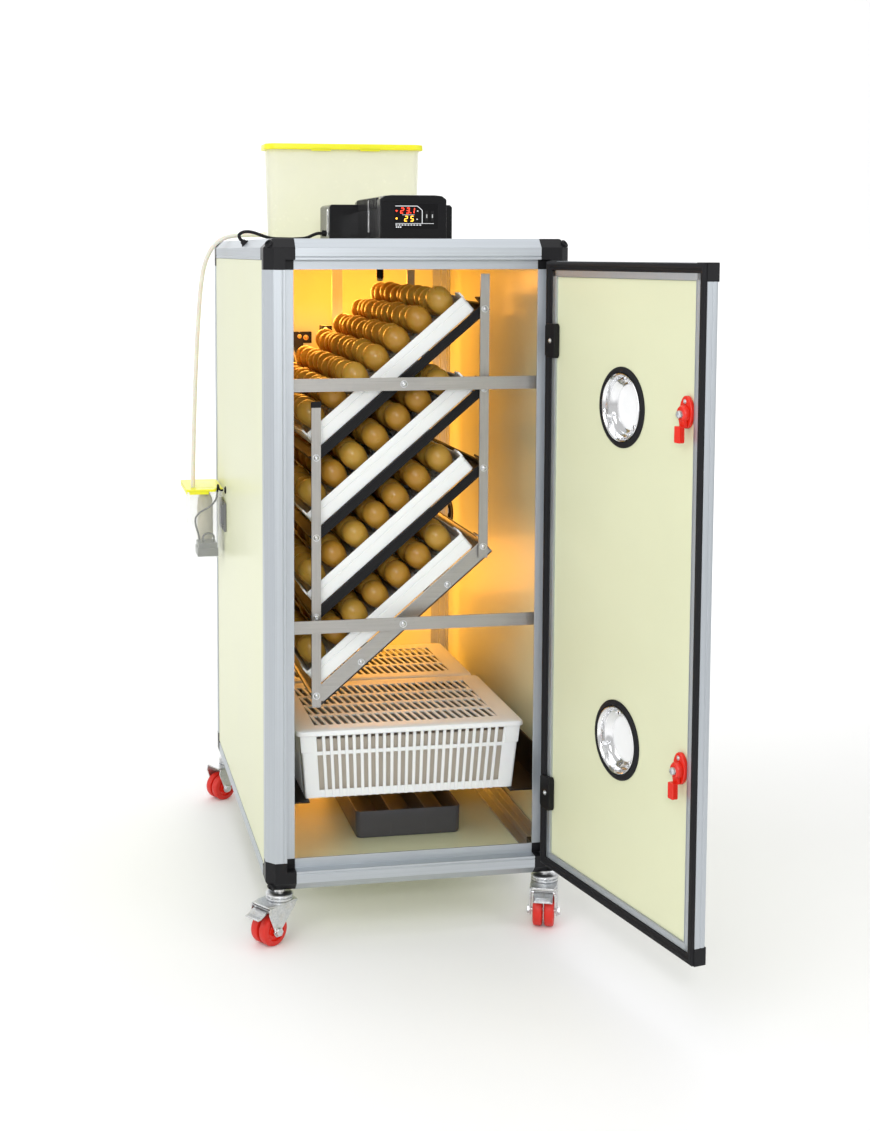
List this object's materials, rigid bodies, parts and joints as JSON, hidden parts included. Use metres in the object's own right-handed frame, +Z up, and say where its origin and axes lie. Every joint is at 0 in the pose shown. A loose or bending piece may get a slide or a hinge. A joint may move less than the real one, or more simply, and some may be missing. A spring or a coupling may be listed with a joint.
{
  "type": "egg incubator",
  "caption": "Cabinet egg incubator on castors, with tilting egg trays, hatching crates, water tray, fan, windowed door, controller, header tank and float vessel.",
  "frame": {"origin": "on the floor, in the middle of the ground covered with the door open", "axes": "+X to the right seen from the front, +Y into the cabinet from its front, +Z up"},
  "size_m": [0.6763, 1.2759, 1.384],
  "materials": {
    "aluminium": "satin anodised",
    "cream_panel": "smooth laminate",
    "stainless": "brushed",
    "black_plastic": "satin",
    "white_plastic": "satin",
    "grey_plastic": "satin",
    "clear_plastic": "translucent",
    "yellow_plastic": "glossy",
    "window_ring": "satin",
    "red_plastic": "glossy",
    "zinc": "zinc plated",
    "hose": "satin",
    "cable": "satin"
  },
  "bodies": {
    "cabinet": {"front_frame": "aluminium", "rear_frame": "aluminium", "panel_left": "cream_panel", "panel_right": "cream_panel", "panel_rear": "cream_panel", "panel_top": "cream_panel", "panel_floor": "cream_panel", "crossbar_upper": "stainless", "crossbar_lower": "stainless", "rear_support": "stainless", "fan_housing": "black_plastic", "shelf_rail_left": "black_plastic", "shelf_rail_right": "black_plastic", "hinge_lower": "black_plastic", "hinge_upper": "black_plastic", "controller": "black_plastic", "header_tank": "clear_plastic", "float_vessel": "clear_plastic", "float_vessel_lid": "yellow_plastic", "float_pump": "grey_plastic", "water_hose": "hose", "pump_cable": "cable", "supply_cable": "cable"},
    "door": {"door_frame": "aluminium", "door_panel": "cream_panel", "window_upper": "window_ring", "window_lower": "window_ring"},
    "latch_upper": {"latch_upper": "red_plastic"},
    "latch_lower": {"latch_lower": "red_plastic"},
    "tray_1": {"carrier_1": "black_plastic"},
    "eggs_1": {"egg_tray_1": "white_plastic"},
    "tray_2": {"carrier_2": "black_plastic"},
    "eggs_2": {"egg_tray_2": "white_plastic"},
    "tray_3": {"carrier_3": "black_plastic"},
    "eggs_3": {"egg_tray_3": "white_plastic"},
    "tray_4": {"carrier_4": "stainless"},
    "eggs_4": {"egg_tray_4": "white_plastic"},
    "link_left": {"link_left_front": "stainless", "link_left_rear": "stainless"},
    "link_right": {"link_right_front": "stainless", "link_right_rear": "stainless"},
    "fan": {"fan_blade": "black_plastic"},
    "crate_front": {"crate_front": "white_plastic"},
    "crate_front_lid": {"crate_front_lid": "white_plastic"},
    "crate_rear": {"crate_rear": "white_plastic"},
    "crate_rear_lid": {"crate_rear_lid": "white_plastic"},
    "water_tray": {"water_tray": "grey_plastic"},
    "tank_lid": {"header_tank_lid": "yellow_plastic"},
    "button_left": {"button_left": "grey_plastic"},
    "button_right": {"button_right": "grey_plastic"},
    "castor_front_left": {"castor_fork_front_left": "zinc"},
    "wheel_front_left": {"castor_wheel_front_left": "red_plastic"},
    "brake_front_left": {"castor_brake_front_left": "zinc"},
    "castor_front_right": {"castor_fork_front_right": "zinc"},
    "wheel_front_right": {"castor_wheel_front_right": "red_plastic"},
    "brake_front_right": {"castor_brake_front_right": "zinc"},
    "castor_rear_left": {"castor_fork_rear_left": "zinc"},
    "wheel_rear_left": {"castor_wheel_rear_left": "red_plastic"},
    "castor_rear_right": {"castor_fork_rear_right": "zinc"},
    "wheel_rear_right": {"castor_wheel_rear_right": "red_plastic"}
  },
  "joints": [
    {"name": "door_swing", "type": "hinge", "parent": "cabinet", "child": "door", "pos_m": [0.2338, -0.1843, 0.64], "axis": [0, 0, 1], "range_deg": [-102.4, 67]},
    {"name": "latch_upper_turn", "type": "hinge", "parent": "door", "child": "latch_upper", "pos_m": [0.30534, -0.59348, 0.936], "axis": [-0.9767, -0.2147, 0], "range_deg": [0, 90]},
    {"name": "latch_lower_turn", "type": "hinge", "parent": "door", "child": "latch_lower", "pos_m": [0.30534, -0.59348, 0.41], "axis": [-0.9767, -0.2147, 0], "range_deg": [0, 90]},
    {"name": "tray_1_tilt", "type": "hinge", "parent": "cabinet", "child": "tray_1", "pos_m": [-0.0197, 0.1787, 0.946], "axis": [0, 1, 0], "range_deg": [0, 81]},
    {"name": "link_left_pivot", "type": "hinge", "parent": "tray_1", "child": "link_left", "pos_m": [-0.16608, 0.1787, 0.82098], "axis": [0, 1, 0], "range_deg": [-81, 0]},
    {"name": "link_right_pivot", "type": "hinge", "parent": "tray_1", "child": "link_right", "pos_m": [0.12668, 0.1787, 1.07102], "axis": [0, 1, 0], "range_deg": [-81, 0]},
    {"name": "tray_2_tilt", "type": "hinge", "parent": "link_left", "child": "tray_2", "pos_m": [-0.16608, 0.1787, 0.68398], "axis": [0, 1, 0], "range_deg": [0, 81]},
    {"name": "tray_3_tilt", "type": "hinge", "parent": "link_left", "child": "tray_3", "pos_m": [-0.16608, 0.1787, 0.54698], "axis": [0, 1, 0], "range_deg": [0, 81]},
    {"name": "tray_4_tilt", "type": "hinge", "parent": "cabinet", "child": "tray_4", "pos_m": [-0.0197, 0.1787, 0.535], "axis": [0, 1, 0], "range_deg": [0, 81]},
    {"name": "egg_tray_1_lift", "type": "slide", "parent": "tray_1", "child": "eggs_1", "axis": [-0.6494, 0, 0.7604], "range_m": [0, 0.012]},
    {"name": "egg_tray_2_lift", "type": "slide", "parent": "tray_2", "child": "eggs_2", "axis": [-0.6494, 0, 0.7604], "range_m": [0, 0.012]},
    {"name": "egg_tray_3_lift", "type": "slide", "parent": "tray_3", "child": "eggs_3", "axis": [-0.6494, 0, 0.7604], "range_m": [0, 0.012]},
    {"name": "egg_tray_4_lift", "type": "slide", "parent": "tray_4", "child": "eggs_4", "axis": [-0.6494, 0, 0.7604], "range_m": [0, 0.012]},
    {"name": "fan_spin", "type": "hinge", "parent": "cabinet", "child": "fan", "pos_m": [-0.1432, 0.5877, 0.935], "axis": [0, 1, 0], "continuous": true},
    {"name": "crate_front_slide", "type": "slide", "parent": "cabinet", "child": "crate_front", "axis": [0, -1, 0], "range_m": [0, 0.34]},
    {"name": "crate_front_lid_lift", "type": "slide", "parent": "crate_front", "child": "crate_front_lid", "axis": [0, 0, 1], "range_m": [0, 0.03]},
    {"name": "crate_rear_slide", "type": "slide", "parent": "cabinet", "child": "crate_rear", "axis": [0, 1, 0], "range_m": [0, 0.08]},
    {"name": "crate_rear_lid_lift", "type": "slide", "parent": "crate_rear", "child": "crate_rear_lid", "axis": [0, 0, 1], "range_m": [0, 0.03]},
    {"name": "water_tray_slide", "type": "slide", "parent": "cabinet", "child": "water_tray", "axis": [0, -1, 0], "range_m": [0, 0.12]},
    {"name": "tank_lid_lift", "type": "slide", "parent": "cabinet", "child": "tank_lid", "axis": [0, 0, 1], "range_m": [0, 0.05]},
    {"name": "button_left_press", "type": "slide", "parent": "cabinet", "child": "button_left", "axis": [0, 1, 0], "range_m": [0, 0.0015], "stiffness_N_per_m": 200},
    {"name": "button_right_press", "type": "slide", "parent": "cabinet", "child": "button_right", "axis": [0, 1, 0], "range_m": [0, 0.0015], "stiffness_N_per_m": 200},
    {"name": "castor_front_left_swivel", "type": "hinge", "parent": "cabinet", "child": "castor_front_left", "pos_m": [-0.2357, -0.1428, 0.06], "axis": [0, 0, 1], "continuous": true},
    {"name": "wheel_front_left_roll", "type": "hinge", "parent": "castor_front_left", "child": "wheel_front_left", "pos_m": [-0.25618, -0.15714, 0.027], "axis": [0.5736, -0.8191, 0], "continuous": true},
    {"name": "brake_front_left_press", "type": "hinge", "parent": "castor_front_left", "child": "brake_front_left", "pos_m": [-0.26683, -0.1646, 0.063], "axis": [0.5736, -0.8191, 0], "range_deg": [0, 12]},
    {"name": "castor_front_right_swivel", "type": "hinge", "parent": "cabinet", "child": "castor_front_right", "pos_m": [0.2333, -0.1428, 0.06], "axis": [0, 0, 1], "continuous": true},
    {"name": "wheel_front_right_roll", "type": "hinge", "parent": "castor_front_right", "child": "wheel_front_right", "pos_m": [0.22475, -0.16629, 0.027], "axis": [0.9397, -0.342, 0], "continuous": true},
    {"name": "brake_front_right_press", "type": "hinge", "parent": "castor_front_right", "child": "brake_front_right", "pos_m": [0.2203, -0.17851, 0.063], "axis": [0.9397, -0.342, 0], "range_deg": [0, 12]},
    {"name": "castor_rear_left_swivel", "type": "hinge", "parent": "cabinet", "child": "castor_rear_left", "pos_m": [-0.2357, 0.6062, 0.06], "axis": [0, 0, 1], "continuous": true},
    {"name": "wheel_rear_left_roll", "type": "hinge", "parent": "castor_rear_left", "child": "wheel_rear_left", "pos_m": [-0.25735, 0.5937, 0.027], "axis": [0.5, -0.866, 0], "continuous": true},
    {"name": "castor_rear_right_swivel", "type": "hinge", "parent": "cabinet", "child": "castor_rear_right", "pos_m": [0.2333, 0.6062, 0.06], "axis": [0, 0, 1], "continuous": true},
    {"name": "wheel_rear_right_roll", "type": "hinge", "parent": "castor_rear_right", "child": "wheel_rear_right", "pos_m": [0.21896, 0.58572, 0.027], "axis": [0.8191, -0.5736, 0], "continuous": true}
  ],
  "couplings": [
    {"joint": "link_left_pivot", "follows": "tray_1_tilt", "ratio": -1},
    {"joint": "link_right_pivot", "follows": "tray_1_tilt", "ratio": -1},
    {"joint": "tray_2_tilt", "follows": "tray_1_tilt", "ratio": 1},
    {"joint": "tray_3_tilt", "follows": "tray_1_tilt", "ratio": 1},
    {"joint": "tray_4_tilt", "follows": "tray_1_tilt", "ratio": 1}
  ]
}
